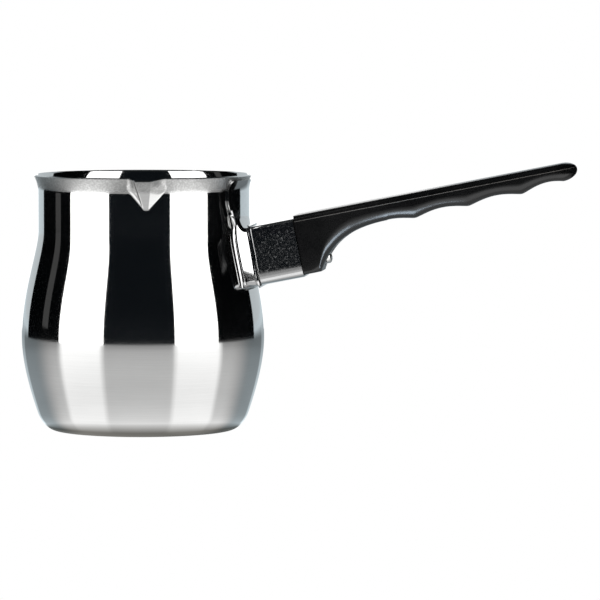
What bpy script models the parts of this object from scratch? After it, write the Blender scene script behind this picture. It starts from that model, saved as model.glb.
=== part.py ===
"""A Turkish coffee pot (cezve): a drawn stainless pot with a pressed pouring lip, and one side handle.

The handle is a welded sheet bracket with a tapering socket, a rectangular sleeve, and a moulded grip,
drawn together by one long screw. Metres, +Z up. The origin is the centre of the base, on the pot's
axis, and +X points along the handle. Lengths in the constants are millimetres.
"""

from math import cos, pi, radians, sin, sqrt

import bmesh
import bpy
import numpy as np
from mathutils import Vector

MM = 0.001
GAP = 0.3  # clearance between touching pieces
MERGE = 0.00001  # welding distance, metres

# The pot
RIM_Z = 104.5
RIM_RADIUS = 44.8
NECK_RADIUS = 43.0
NECK_TOP_Z = 98.0
NECK_BOTTOM_Z = 82.0
BELLY_RADIUS = 49.9
BELLY_Z = 38.0
HEEL_RADIUS = 43.4  # where the side turns into the base corner
HEEL_Z = 7.0
BASE_RADIUS = 36.5
SHOULDER_PULLS = (74.0, 57.0)  # heights of the curve handles between neck and belly
BELLY_PULLS = (28.0, (46.5, 16.0))
CORNER_PULLS = ((42.1, 3.3), (39.0, 0.0))
POT_WALL = 0.7
POT_STEPS = 96

# The pouring lip
LIP_ANGLE = -80.0  # from the handle, seen from above
LIP_DEPTH = 12.5
LIP_FOOT = 0.8  # half width of its foot, low on the neck
LIP_SPREAD = 7.5  # how much wider it is at the rim
LIP_SPREAD_END = 0.66  # share of its height where the spread is complete
LIP_FACE_LEFT = (1.0, 3.4, 1.8)  # half width of its face at the foot, what the rim adds, steepness beside it
LIP_FACE_RIGHT = (0.9, 0.9, 1.1)
LIP_FACE_LIMIT = 0.8  # of the lip's half width
LIP_BLEND = 0.9  # extra softness where it meets the rim
LIP_REACH = 5.4
LIP_DROP = 0.9

# The handle's own frame: its axis rises from the socket's mouth, where the sleeve starts
HANDLE_ORIGIN = (47.9, 0.0, 72.13)
HANDLE_SLOPE = 11.2

# The welded bracket: angles are measured from the handle's plane
SHEET = 0.8
PLATE_CLEARANCE = 0.4  # between the plate and the pot
PLATE_ANGLE = 24.5
PLATE_CORNER = 0.6
TONGUE_ANGLE = 29.3
TONGUE_CORNER = 4.5
TONGUE_TOP_Z = 103.2
TONGUE_BLEND_Z = 85.0  # where the plate starts to widen into the tongue
TONGUE_BLEND_RUN = 10.0
PLATE_BOTTOM_Z = 59.5
SOCKET_ANGLE = 21.8
SOCKET_TOP_Z = 88.0
SOCKET_BOTTOM_Z = 60.6
SOCKET_CORNER = 3.0
FILLET = 1.6  # sag of the socket's roof where it leaves the tongue
FILLET_START_Z = 82.0
FILLET_RUN = 6.0
MOUTH_TOP = 12.2  # heights across the handle's axis
MOUTH_BOTTOM = -12.4
MOUTH_HALF_TOP = 12.4
MOUTH_HALF_BOTTOM = 13.3
MOUTH_TOP_CORNER = 2.4
MOUTH_BOTTOM_CORNER = 3.4
MOUTH_BACK_TOP = -0.7  # the mouth's set-back from the sleeve
MOUTH_BACK_BOTTOM = -1.1
MOUTH_LIP = 0.7
LIP_FORWARD = 0.2

# The sleeve between socket and grip
SLEEVE_LENGTH = 18.0
SLEEVE_HALF_WIDTH = 11.5
SLEEVE_HALF_HEIGHT = 12.15
SLEEVE_WALL = 0.6
SLEEVE_TOP_CORNER = 2.2
SLEEVE_BOTTOM_CORNER = 3.6

# Largest corners of a section across the handle
CORNER_OF_HEIGHT = 0.49
CORNER_OF_HALF = 0.95

# The grip, along the handle's axis
GRIP_START = SLEEVE_LENGTH + GAP
GRIP_END = 135.2
GRIP_TOP = 13.25
GRIP_ROOT_BOTTOM = -11.25
GRIP_ROOT_END = 25.2
GRIP_HALF_ROOT = 11.0
GRIP_HALF_TIP = 8.4
GRIP_TAPER_START = 40.0
GRIP_TAPER_RUN = 70.0
TOP_CORNER = 2.35
BOTTOM_CORNER = 5.5
ROOT_CORNER = 1.6
ROOT_BLEND_START = 21.0  # where the root's sharp corner starts to soften
ROOT_BLEND_RUN = 9.0
TENON_START = 12.0
TENON_CLEARANCE = 0.35
TENON_LIFT = 0.1
TENON_SOFTNESS = 0.3
ARCH_END = 56.0
ARCH_HEIGHT = 4.12
ARCH_LEAN = 62.0
ARCH_PULLS = (11.5, 16.5)  # lengths of the arch's curve handles
RIDGE_START = 66.9  # first ridge between the finger grooves
RIDGE_HEIGHT = 2.85
RIDGE_RISE = 0.029
GROOVE_PITCH = 22.25
GROOVE_DEPTH = 1.97
LAST_GROOVE_DEPTH = 2.75
RIDGE_SOFTNESS = 0.12
NOSE_START = 129.0
NOSE_HEIGHT = 10.05
NOSE_SIDE_START = 126.5  # where the sides start to close

# The screw and what it pulls on
SCREW_HEIGHT = -5.85  # across the handle's axis
SCREW_RADIUS = 2.0
SCREW_HOLE_RADIUS = 2.3
SCREW_TIP = 0.8
SEAT = 25.9
COUNTERBORE_RADIUS = 3.6
HEAD_RADIUS = 3.0
HEAD_HEIGHT = 2.5
HEAD_DOME = 0.62  # share of the head's height that is domed
TIP_CHAMFER = 0.6
RECESS_WIDTH = 0.9
RECESS_SPAN = 3.4
RECESS_DEPTH = 1.2
WASHER_OUTER = 3.1
WASHER_INNER = 2.3
WASHER_THICKNESS = 0.9
WASHER_SPLIT = 0.5
STRAP_THICKNESS = 1.2
STRAP_HEIGHT = 8.0
STRAP_HALF_WIDTH = 8.0
STRAP_WEB = 6.2  # front of its cross web
FOOT_END = 12.4
NUT_WIDTH = 7.0
NUT_THICKNESS = 3.2
NUT_BEVEL = 0.4


def clear_scene():
    for obj in list(bpy.data.objects):
        bpy.data.objects.remove(obj, do_unlink=True)


def new_collection(name):
    collection = bpy.data.collections.new(name)
    bpy.context.scene.collection.children.link(collection)
    return collection


def material(name, colour, roughness, metallic):
    made = bpy.data.materials.new(name)
    made.use_nodes = True
    shader = made.node_tree.nodes["Principled BSDF"]
    shader.inputs["Base Color"].default_value = (*colour, 1.0)
    shader.inputs["Roughness"].default_value = roughness
    shader.inputs["Metallic"].default_value = metallic
    made.diffuse_color = (*colour, 1.0)
    return made


def object_from(bm, name, collection, finish=None):
    mesh = bpy.data.meshes.new(name)
    bm.to_mesh(mesh)
    bm.free()
    obj = bpy.data.objects.new(name, mesh)
    collection.objects.link(obj)
    if finish:
        mesh.materials.append(finish)
    mesh.shade_smooth()
    mesh.set_sharp_from_angle(angle=radians(35.0))
    return obj


def on_handle(obj, along=0.0, across=0.0):
    """Hangs a piece on the handle's axis, at a distance along it and a height across it."""
    obj.parent = bpy.data.objects["handle_axis"]
    obj.location = Vector((along, 0.0, across)) * MM
    return obj


def evaluated_copy(obj, name, collection, finish):
    """A plain mesh object of what the modifiers of another object make of it. The other one is removed."""
    graph = bpy.context.evaluated_depsgraph_get()
    mesh = bpy.data.meshes.new_from_object(obj.evaluated_get(graph))
    matrix = obj.matrix_world.copy()
    bpy.data.objects.remove(obj, do_unlink=True)
    copy = bpy.data.objects.new(name, mesh)
    copy.matrix_world = matrix
    collection.objects.link(copy)
    mesh.materials.clear()
    mesh.materials.append(finish)
    mesh.shade_smooth()
    return copy


def thicken(obj, wall, even=True):
    """Gives an open surface a wall on its inner side."""
    shell = obj.modifiers.new("wall", "SOLIDIFY")
    shell.thickness = wall * MM
    shell.offset = -1.0
    shell.use_even_offset = even


def cut(obj, cutter):
    boolean = obj.modifiers.new("cut_" + cutter.name, "BOOLEAN")
    boolean.operation = "DIFFERENCE"
    boolean.solver = "EXACT"
    boolean.object = cutter
    cutter.hide_render = True
    cutter.display_type = "WIRE"


def cylinder(name, radius, length, collection, finish=None, segments=32):
    """A cylinder along X, centred on its own origin."""
    bm = bmesh.new()
    bmesh.ops.create_cone(bm, cap_ends=True, segments=segments, radius1=radius * MM, radius2=radius * MM,
                          depth=length * MM)
    turn_to_x(bm)
    return object_from(bm, name, collection, finish)


def turn_to_x(bm):
    """Turns what stands along Z so that it lies along X."""
    for vert in bm.verts:
        x, y, z = vert.co
        vert.co = (z, y, -x)


def box(name, size, collection, finish=None):
    bm = bmesh.new()
    bmesh.ops.create_cube(bm, size=1.0)
    bmesh.ops.scale(bm, vec=Vector(size) * MM, verts=bm.verts)
    return object_from(bm, name, collection, finish)


def smoothstep(t):
    t = min(max(t, 0.0), 1.0)
    return t * t * (3.0 - 2.0 * t)


def bezier(p0, p1, p2, p3, steps):
    """Points of a cubic curve, without its first one."""
    points = []
    for i in range(1, steps + 1):
        t = i / steps
        weights = ((1 - t) ** 3, 3 * (1 - t) ** 2 * t, 3 * (1 - t) * t * t, t ** 3)
        x = sum(w * p[0] for w, p in zip(weights, (p0, p1, p2, p3)))
        y = sum(w * p[1] for w, p in zip(weights, (p0, p1, p2, p3)))
        points.append((x, y))
    return points


# ---------------------------------------------------------------- the pot

def pot_profile(detail=1):
    """The outer side as (radius, height), from the rim down to the edge of the flat base."""
    points = []
    for i in range(4 * detail + 1):
        z = RIM_Z - (RIM_Z - NECK_TOP_Z) * i / (4 * detail)
        rise = (z - NECK_TOP_Z) / (RIM_Z - NECK_TOP_Z)
        points.append((NECK_RADIUS + (RIM_RADIUS - NECK_RADIUS) * rise * rise, z))
    for i in range(1, 3):
        points.append((NECK_RADIUS, NECK_TOP_Z - (NECK_TOP_Z - NECK_BOTTOM_Z) * i / 2))
    points += bezier((NECK_RADIUS, NECK_BOTTOM_Z), (NECK_RADIUS, SHOULDER_PULLS[0]),
                     (BELLY_RADIUS, SHOULDER_PULLS[1]), (BELLY_RADIUS, BELLY_Z), 6 * detail)
    points += bezier((BELLY_RADIUS, BELLY_Z), (BELLY_RADIUS, BELLY_PULLS[0]), BELLY_PULLS[1],
                     (HEEL_RADIUS, HEEL_Z), 4 * detail)
    points += bezier((HEEL_RADIUS, HEEL_Z), *CORNER_PULLS, (BASE_RADIUS, 0.0), 4 * detail)
    return points


FINE_PROFILE = pot_profile(8)[::-1]


def wall_radius(z):
    """The pot's outer radius at a height."""
    heights = [p[1] for p in FINE_PROFILE]
    radii = [p[0] for p in FINE_PROFILE]
    return float(np.interp(z, heights, radii))


def lip_share(arc, fall):
    """How much of the lip's push a point gets, by its distance around the wall from the lip's middle."""
    outer = LIP_FOOT + LIP_SPREAD * min(fall / LIP_SPREAD_END, 1.0)
    foot, widening, power = LIP_FACE_RIGHT if arc > 0.0 else LIP_FACE_LEFT
    inner = min(foot + widening * fall, LIP_FACE_LIMIT * outer)
    down = min(max((abs(arc) - inner) / (outer - inner), 0.0), 1.0)
    power += LIP_BLEND * smoothstep((fall - LIP_SPREAD_END) / (1.0 - LIP_SPREAD_END))
    return (1.0 - down) ** power


def press_lip(mesh):
    """Pushes the rim out into a V-shaped pouring lip that fades out down the neck."""
    middle = radians(LIP_ANGLE)
    for vert in mesh.vertices:
        x, y, z = (c / MM for c in vert.co)
        radius = sqrt(x * x + y * y)
        fall = (z - (RIM_Z - LIP_DEPTH)) / LIP_DEPTH
        if fall <= 0.0 or radius < NECK_RADIUS / 2:
            continue
        angle = np.arctan2(y, x) - middle
        share = fall * lip_share(radius * angle, fall)
        radius += LIP_REACH * share
        around = middle + angle
        vert.co = Vector((radius * cos(around), radius * sin(around), z - LIP_DROP * share * fall)) * MM


def pot_body(parts, finish):
    bm = bmesh.new()
    verts = [bm.verts.new((r * MM, 0.0, z * MM)) for r, z in pot_profile() + [(0.0, 0.0)]]
    for a, b in zip(verts, verts[1:]):
        bm.edges.new((a, b))
    turned = object_from(bm, "pot_profile", parts)
    screw = turned.modifiers.new("turn", "SCREW")
    screw.axis = "Z"
    screw.steps = POT_STEPS
    screw.render_steps = POT_STEPS
    screw.use_merge_vertices = True
    screw.merge_threshold = MERGE
    pot = evaluated_copy(turned, "pot_body", parts, finish)
    press_lip(pot.data)
    thicken(pot, POT_WALL)
    return pot


# ---------------------------------------------------------------- the bracket

def handle_point(along, side, across):
    """A point of the handle's frame, in the pot's."""
    slope = radians(HANDLE_SLOPE)
    x = HANDLE_ORIGIN[0] + along * cos(slope) - across * sin(slope)
    z = HANDLE_ORIGIN[2] + along * sin(slope) + across * cos(slope)
    return Vector((x, side, z))


def wall_point(angle, z, off):
    """A point off the pot's wall, at an angle in degrees from the handle's plane."""
    radius = wall_radius(z) + off
    return Vector((radius * cos(radians(angle)), radius * sin(radians(angle)), z))


def half_outline(bottom, top, half, corner_bottom, corner_top, counts):
    """The right half of an upright rounded outline, from bottom centre to top centre.

    half is a function of the height that gives the half width there; counts are the steps of the bottom
    edge, the bottom corner, the side, the top corner and the top edge.
    """
    points = []
    low = half(bottom + corner_bottom)
    for i in range(counts[0]):
        points.append(((low - corner_bottom) * i / counts[0], bottom))
    for i in range(counts[1]):
        turn = pi / 2 * i / counts[1]
        points.append((low - corner_bottom * (1 - sin(turn)), bottom + corner_bottom * (1 - cos(turn))))
    for i in range(counts[2]):
        z = bottom + corner_bottom + (top - corner_top - bottom - corner_bottom) * i / counts[2]
        points.append((half(z), z))
    high = half(top - corner_top)
    for i in range(counts[3]):
        turn = pi / 2 * i / counts[3]
        points.append((high - corner_top * (1 - cos(turn)), top - corner_top * (1 - sin(turn))))
    for i in range(counts[4] + 1):
        points.append(((high - corner_top) * (1 - i / counts[4]), top))
    return points


def whole_outline(half_points):
    """Both halves, once around."""
    return half_points + [(-x, z) for x, z in half_points[-2:0:-1]]


OUTLINE_COUNTS = (4, 3, 7, 4, 4)
FLANGE_STEPS = (0.0, 0.35, 0.7, 1.0)
SOCKET_STEPS = (0.08, 0.3, 0.6, 1.0)


def plate_half_angle(z):
    return PLATE_ANGLE + (TONGUE_ANGLE - PLATE_ANGLE) * smoothstep((z - TONGUE_BLEND_Z) / TONGUE_BLEND_RUN)


def bracket_rings():
    """The sheet's outer side as rings, from the plate's edge over the socket to its mouth."""
    off = PLATE_CLEARANCE + SHEET
    edge = whole_outline(half_outline(PLATE_BOTTOM_Z, TONGUE_TOP_Z, plate_half_angle, PLATE_CORNER,
                                      TONGUE_CORNER, OUTLINE_COUNTS))
    root = whole_outline(half_outline(SOCKET_BOTTOM_Z, SOCKET_TOP_Z, lambda z: SOCKET_ANGLE, SOCKET_CORNER,
                                      SOCKET_CORNER, OUTLINE_COUNTS))
    mouth = whole_outline(half_outline(MOUTH_BOTTOM, MOUTH_TOP, mouth_half, MOUTH_BOTTOM_CORNER,
                                       MOUTH_TOP_CORNER, OUTLINE_COUNTS))
    rings = []
    for step in FLANGE_STEPS:
        ring = []
        for (a0, z0), (a1, z1) in zip(edge, root):
            ring.append(wall_point(a0 + (a1 - a0) * step, z0 + (z1 - z0) * step, off))
        rings.append(ring)
    base = rings[-1]
    front = [handle_point(mouth_back(h), side, h) for side, h in mouth]
    for step in SOCKET_STEPS:
        ring = []
        for start, end in zip(base, front):
            point = start.lerp(end, step)
            fillet = FILLET * smoothstep((start.z - FILLET_START_Z) / FILLET_RUN)
            point.z -= fillet * sin(pi * step)
            ring.append(point)
        rings.append(ring)
    flared = []
    for side, h in mouth:
        grow = 1.0 + MOUTH_LIP / MOUTH_TOP
        flared.append(handle_point(mouth_back(h) + LIP_FORWARD, side * grow, h * grow))
    rings.append(flared)
    return rings


def mouth_half(h):
    share = (MOUTH_TOP - h) / (MOUTH_TOP - MOUTH_BOTTOM)
    return MOUTH_HALF_TOP + (MOUTH_HALF_BOTTOM - MOUTH_HALF_TOP) * share


def mouth_back(h):
    share = (MOUTH_TOP - h) / (MOUTH_TOP - MOUTH_BOTTOM)
    return MOUTH_BACK_TOP + (MOUTH_BACK_BOTTOM - MOUTH_BACK_TOP) * share


def skin(bm, rings, closed=True):
    """Joins equal rings of points with four-sided faces, each facing to the right of the ring's run."""
    rows = [[bm.verts.new(point * MM) for point in ring] for ring in rings]
    for low, high in zip(rows, rows[1:]):
        for i in range(len(low) if closed else len(low) - 1):
            j = (i + 1) % len(low)
            bm.faces.new((low[i], low[j], high[j], high[i]))
    return rows


def handle_bracket(parts, finish):
    bm = bmesh.new()
    skin(bm, bracket_rings())
    bracket = object_from(bm, "handle_bracket", parts, finish)
    thicken(bracket, SHEET, even=False)
    return bracket


# ---------------------------------------------------------------- the sleeve and the grip

def section(along, half, top, bottom, top_corner, bottom_corner, steps=4):
    """A ring across the handle: flat top with small corners, round underside."""
    most = min(CORNER_OF_HEIGHT * (top - bottom), CORNER_OF_HALF * half)
    top_corner = min(top_corner, most)
    bottom_corner = min(bottom_corner, most)
    points = []
    corners = ((1, top, top_corner, 90), (-1, top, top_corner, 180),
               (-1, bottom, bottom_corner, 270), (1, bottom, bottom_corner, 0))
    for side, level, radius, stop in corners:
        inward = -1 if level == top else 1
        centre = (side * (half - radius), level + inward * radius)
        for i in range(steps + 1):
            turn = radians(stop - 90 + 90 * i / steps)
            points.append(Vector((along, centre[0] + radius * cos(turn), centre[1] + radius * sin(turn))))
    return points


def ferrule(parts, finish):
    rings = []
    for along in (0.0, SLEEVE_LENGTH):
        rings.append(section(along, SLEEVE_HALF_WIDTH, SLEEVE_HALF_HEIGHT, -SLEEVE_HALF_HEIGHT,
                             SLEEVE_TOP_CORNER, SLEEVE_BOTTOM_CORNER))
    bm = bmesh.new()
    skin(bm, rings)
    sleeve = object_from(bm, "ferrule", parts, finish)
    thicken(sleeve, SLEEVE_WALL)
    return on_handle(sleeve)


def grip_underside(along):
    """The height of the underside: a root, a concave arch, then finger grooves between soft ridges."""
    if along <= GRIP_ROOT_END:
        return GRIP_ROOT_BOTTOM
    if along < ARCH_END:
        lean = radians(ARCH_LEAN)
        start = (GRIP_ROOT_END, GRIP_ROOT_BOTTOM)
        rise = (start[0] + ARCH_PULLS[0] * cos(lean), start[1] + ARCH_PULLS[0] * sin(lean))
        end = (ARCH_END, ARCH_HEIGHT)
        arch = [start] + bezier(start, rise, (ARCH_END - ARCH_PULLS[1], ARCH_HEIGHT), end, 40)
        return float(np.interp(along, [p[0] for p in arch], [p[1] for p in arch]))
    turn = (along - RIDGE_START) / GROOVE_PITCH
    depth = LAST_GROOVE_DEPTH if turn > 2.0 else GROOVE_DEPTH
    wave = sqrt(sin(pi * turn) ** 2 + RIDGE_SOFTNESS ** 2) - RIDGE_SOFTNESS
    return RIDGE_HEIGHT + RIDGE_RISE * (along - RIDGE_START) + depth * wave


def grip_section(along):
    top = GRIP_TOP
    bottom = grip_underside(along)
    share = smoothstep((along - GRIP_TAPER_START) / GRIP_TAPER_RUN)
    half = GRIP_HALF_ROOT + (GRIP_HALF_TIP - GRIP_HALF_ROOT) * share
    if along > NOSE_START:
        into = (along - NOSE_START) / (GRIP_END - NOSE_START)
        left = sqrt(max(1.0 - into * into, 0.0))
        bottom = grip_underside(NOSE_START)
        top = NOSE_HEIGHT + (top - NOSE_HEIGHT) * left
        bottom = NOSE_HEIGHT + (bottom - NOSE_HEIGHT) * left
    if along > NOSE_SIDE_START:
        into = (along - NOSE_SIDE_START) / (GRIP_END - NOSE_SIDE_START)
        half *= sqrt(max(1.0 - into * into, 0.0))
    corner = ROOT_CORNER + (BOTTOM_CORNER - ROOT_CORNER) * smoothstep((along - ROOT_BLEND_START) / ROOT_BLEND_RUN)
    return section(along, half, top, bottom, TOP_CORNER, corner)


def tenon_section(along):
    """The stub that the grip pushes into the sleeve."""
    inset = SLEEVE_WALL + TENON_CLEARANCE
    return section(along, SLEEVE_HALF_WIDTH - inset, SLEEVE_HALF_HEIGHT - inset,
                   -SLEEVE_HALF_HEIGHT + inset + TENON_LIFT, SLEEVE_TOP_CORNER - inset + TENON_SOFTNESS,
                   SLEEVE_BOTTOM_CORNER - inset + TENON_SOFTNESS)


def grip_stations():
    """Where the grip's sections stand: closer together over the grooves and in the rounded end."""
    stations = [GRIP_START, GRIP_ROOT_END]
    stations += [GRIP_ROOT_END + (ARCH_END - GRIP_ROOT_END) * (i / 9) ** 1.4 for i in range(1, 10)]
    stations += [ARCH_END + i * (NOSE_START - ARCH_END) / 26 for i in range(1, 27)]
    stations += [NOSE_START + (GRIP_END - NOSE_START) * sin(pi / 2 * i / 6.2) for i in range(1, 7)]
    return stations


def handle_grip(parts, cutters, finish):
    bm = bmesh.new()
    rings = [tenon_section(TENON_START), tenon_section(GRIP_START)]
    rings += [grip_section(along) for along in grip_stations()]
    rows = skin(bm, rings)
    bm.faces.new(rows[0][::-1])
    bm.faces.new(rows[-1])
    grip = object_from(bm, "handle_grip", parts, finish)
    hole = cylinder("cut_screw_hole", SCREW_HOLE_RADIUS, 40.0, cutters, segments=24)
    bore = cylinder("cut_counterbore", COUNTERBORE_RADIUS, 20.0, cutters, segments=32)
    on_handle(hole, 20.0, SCREW_HEIGHT)
    on_handle(bore, SEAT + 10.0, SCREW_HEIGHT)
    for cutter in (hole, bore):
        cut(grip, cutter)
    return on_handle(grip)


# ---------------------------------------------------------------- the screw and its anchor

def handle_screw(parts, cutters, finish):
    """A long pan-head screw with a cross recess, turned from its profile."""
    under = SEAT + GAP + WASHER_THICKNESS + GAP
    top = under + HEAD_HEIGHT
    profile = [(0.0, top)]
    for i in range(1, 5):
        turn = pi / 2 * i / 4
        profile.append((HEAD_RADIUS * sin(turn), top - HEAD_DOME * HEAD_HEIGHT * (1 - cos(turn))))
    profile += [(HEAD_RADIUS, under), (SCREW_RADIUS, under), (SCREW_RADIUS, SCREW_TIP + TIP_CHAMFER),
                (SCREW_RADIUS - TIP_CHAMFER, SCREW_TIP), (0.0, SCREW_TIP)]
    bm = bmesh.new()
    verts = [bm.verts.new((r * MM, 0.0, z * MM)) for r, z in profile]
    for a, b in zip(verts, verts[1:]):
        bm.edges.new((a, b))
    screw = object_from(bm, "handle_screw", parts, finish)
    turn = screw.modifiers.new("turn", "SCREW")
    turn.axis = "Z"
    turn.steps = 24
    turn.render_steps = 24
    turn.use_merge_vertices = True
    turn.merge_threshold = MERGE
    screw.rotation_euler = (0.0, pi / 2, 0.0)
    deep = 2 * RECESS_DEPTH
    for name, size in (("cut_recess_a", (deep, RECESS_SPAN, RECESS_WIDTH)),
                       ("cut_recess_b", (deep, RECESS_WIDTH, RECESS_SPAN))):
        recess = box(name, size, cutters)
        on_handle(recess, top, SCREW_HEIGHT)
        cut(screw, recess)
    return on_handle(screw, 0.0, SCREW_HEIGHT)


def lock_washer(parts, cutters, finish):
    """A spring washer, split at one place."""
    washer = cylinder("lock_washer", WASHER_OUTER, WASHER_THICKNESS, parts, finish)
    bore = cylinder("cut_washer_bore", WASHER_INNER, 4.0, cutters)
    split = box("cut_washer_split", (4.0, WASHER_SPLIT, 4.0), cutters)
    middle = SEAT + GAP + WASHER_THICKNESS / 2
    on_handle(bore, middle, SCREW_HEIGHT)
    on_handle(split, middle, SCREW_HEIGHT + 3.0)
    cut(washer, bore)
    cut(washer, split)
    return on_handle(washer, middle, SCREW_HEIGHT)


def strap_line():
    """One half of the strap's run, seen from above, as (along, side): web, leg, then foot on the pot."""
    foot = []
    for side in (STRAP_HALF_WIDTH, FOOT_END):
        wall = handle_point(0.0, 0.0, SCREW_HEIGHT)
        reach = sqrt((wall_radius(wall.z) + 2 * GAP) ** 2 - side * side)
        foot.append(((reach - wall.x) / cos(radians(HANDLE_SLOPE)) + STRAP_THICKNESS, side))
    return [(STRAP_WEB, 0.0), (STRAP_WEB, STRAP_HALF_WIDTH)] + foot


def anchor_strap(parts, cutters, finish):
    """A bent strip: feet welded to the pot inside the socket, and a web across the sleeve."""
    half = strap_line()
    line = [(a, -s) for a, s in half[:0:-1]] + half[1:]
    bm = bmesh.new()
    rings = [[Vector((a, s, SCREW_HEIGHT + h)) for a, s in line] for h in (-STRAP_HEIGHT / 2, STRAP_HEIGHT / 2)]
    skin(bm, rings, closed=False)
    strap = object_from(bm, "anchor_strap", parts, finish)
    thicken(strap, STRAP_THICKNESS)
    hole = cylinder("cut_strap_hole", SCREW_HOLE_RADIUS, 6.0, cutters, segments=24)
    on_handle(hole, STRAP_WEB, SCREW_HEIGHT)
    cut(strap, hole)
    return on_handle(strap)


def anchor_nut(parts, cutters, finish):
    nut = box("anchor_nut", (NUT_THICKNESS, NUT_WIDTH, NUT_WIDTH), parts, finish)
    soft = nut.modifiers.new("corners", "BEVEL")
    soft.width = NUT_BEVEL * MM
    soft.segments = 2
    hole = cylinder("cut_nut_hole", SCREW_HOLE_RADIUS, 8.0, cutters, segments=24)
    middle = STRAP_WEB - STRAP_THICKNESS - GAP - NUT_THICKNESS / 2
    on_handle(hole, middle, SCREW_HEIGHT)
    cut(nut, hole)
    return on_handle(nut, middle, SCREW_HEIGHT)


def main():
    clear_scene()
    parts = new_collection("turkish_coffee_pot")
    cutters = new_collection("cutters")
    axis = bpy.data.objects.new("handle_axis", None)
    axis.location = Vector(HANDLE_ORIGIN) * MM
    axis.rotation_euler = (0.0, -radians(HANDLE_SLOPE), 0.0)
    parts.objects.link(axis)

    pot_body(parts, material("polished_steel", (0.78, 0.78, 0.77), 0.14, 1.0))
    handle_bracket(parts, material("bracket_steel", (0.74, 0.74, 0.73), 0.16, 1.0))
    ferrule(parts, material("sleeve_steel", (0.70, 0.70, 0.70), 0.18, 1.0))
    handle_grip(parts, cutters, material("black_phenolic", (0.012, 0.012, 0.013), 0.32, 0.0))
    handle_screw(parts, cutters, material("screw_steel", (0.76, 0.76, 0.75), 0.2, 1.0))
    lock_washer(parts, cutters, material("washer_steel", (0.45, 0.45, 0.46), 0.4, 1.0))
    anchor_strap(parts, cutters, material("strap_steel", (0.5, 0.5, 0.5), 0.45, 1.0))
    anchor_nut(parts, cutters, material("nut_steel", (0.55, 0.54, 0.5), 0.4, 1.0))


main()
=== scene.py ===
"""The looks of a Turkish coffee pot (cezve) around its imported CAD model.

Finer versions of the drawn pot, the stamped bracket, the sleeve, the moulded grip and the screw stand for
their CAD nodes, and the hidden washer, strap and nut stay as packed, with plated finishes. Shape constants
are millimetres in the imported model's own frame: +Z up, +X towards the handle.
"""

from math import cos, pi, radians, sin, sqrt

import bmesh
import bpy
import numpy as np
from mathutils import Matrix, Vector


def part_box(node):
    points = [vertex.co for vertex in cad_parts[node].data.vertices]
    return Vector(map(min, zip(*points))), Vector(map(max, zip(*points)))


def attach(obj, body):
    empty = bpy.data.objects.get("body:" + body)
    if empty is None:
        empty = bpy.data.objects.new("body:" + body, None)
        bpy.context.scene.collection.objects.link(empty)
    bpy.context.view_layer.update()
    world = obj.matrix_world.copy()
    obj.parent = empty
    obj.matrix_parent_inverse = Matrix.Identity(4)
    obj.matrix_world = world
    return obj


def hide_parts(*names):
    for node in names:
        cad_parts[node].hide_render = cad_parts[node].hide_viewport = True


MM = 0.001

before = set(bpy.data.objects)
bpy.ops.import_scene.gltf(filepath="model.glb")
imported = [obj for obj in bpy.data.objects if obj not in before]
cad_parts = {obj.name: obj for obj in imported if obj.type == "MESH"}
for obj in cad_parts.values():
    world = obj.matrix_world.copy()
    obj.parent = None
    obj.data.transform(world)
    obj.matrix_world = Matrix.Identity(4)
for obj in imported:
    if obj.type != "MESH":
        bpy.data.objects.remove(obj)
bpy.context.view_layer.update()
POT_LOW, POT_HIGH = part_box("pot_body")
SLEEVE_LOW, SLEEVE_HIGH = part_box("ferrule")

# The pot's profile
RIM_Z = POT_HIGH.z / MM
BELLY_RADIUS = (POT_HIGH.x - POT_LOW.x) / 2 / MM
RIM_RADIUS = 44.8
NECK_RADIUS = 43.0
NECK_TOP_Z = 98.0
NECK_BOTTOM_Z = 82.0
BELLY_Z = 38.0
HEEL_RADIUS = 43.4
HEEL_Z = 7.0
BASE_RADIUS = 36.5
BASE_DISH = 0.25  # hollow of the underside
FLOOR_RINGS = (0.02, 0.3, 0.6, 0.85)  # shares of the base's radius
UNDER_RINGS = (0.97, 0.9, 0.6, 0.3, 0.02)
SHOULDER_PULLS = (74.0, 57.0)  # heights of the curve handles between neck and belly
BELLY_PULLS = (28.0, (46.5, 16.0))
CORNER_PULLS = ((42.1, 3.3), (39.0, 0.0))
PROFILE_STEPS = (24, 32, 34, 26, 16)  # flare, neck, shoulder, belly, corner
POT_WALL = 0.7
RIM_EDGE = 0.18  # rounding of the cut edge
RIM_TURNS = (0.0, 0.35, 0.7, 1.0)  # its points, as shares of a quarter turn
STRETCH_START = 98.6  # the drawn flare's skin is pebbled above this height
STRETCH_RUN = 2.0

# The pouring lip
LIP_ANGLE = -80.0  # from the handle, seen from above
LIP_DEPTH = 12.5
LIP_FOOT = 0.8  # half width of its foot, low on the neck
LIP_SPREAD = 7.5  # how much wider it is at the rim
LIP_SPREAD_END = 0.66  # share of its height where the spread is complete
LIP_FACE_LEFT = (1.0, 3.4, 1.8)  # half width of its face at the foot, what the rim adds, steepness beside it
LIP_FACE_RIGHT = (0.9, 0.9, 1.1)
LIP_FACE_LIMIT = 0.8  # of the lip's half width
LIP_BLEND = 0.9  # extra softness where it meets the rim
LIP_REACH = 5.25
LIP_DROP = 0.9
LIP_FOLD = 0.3  # depth of the sharp fold left of the lip's face
LIP_FOLD_HALF = 0.45
LIP_FOLD_SHADE = 4.0  # the fold's shade is full a quarter of the way up
LIP_HALF_TURN = 13.0  # the columns are closer together this far to each side of it
LIP_COLUMNS = 96
OTHER_COLUMNS = 224

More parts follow.
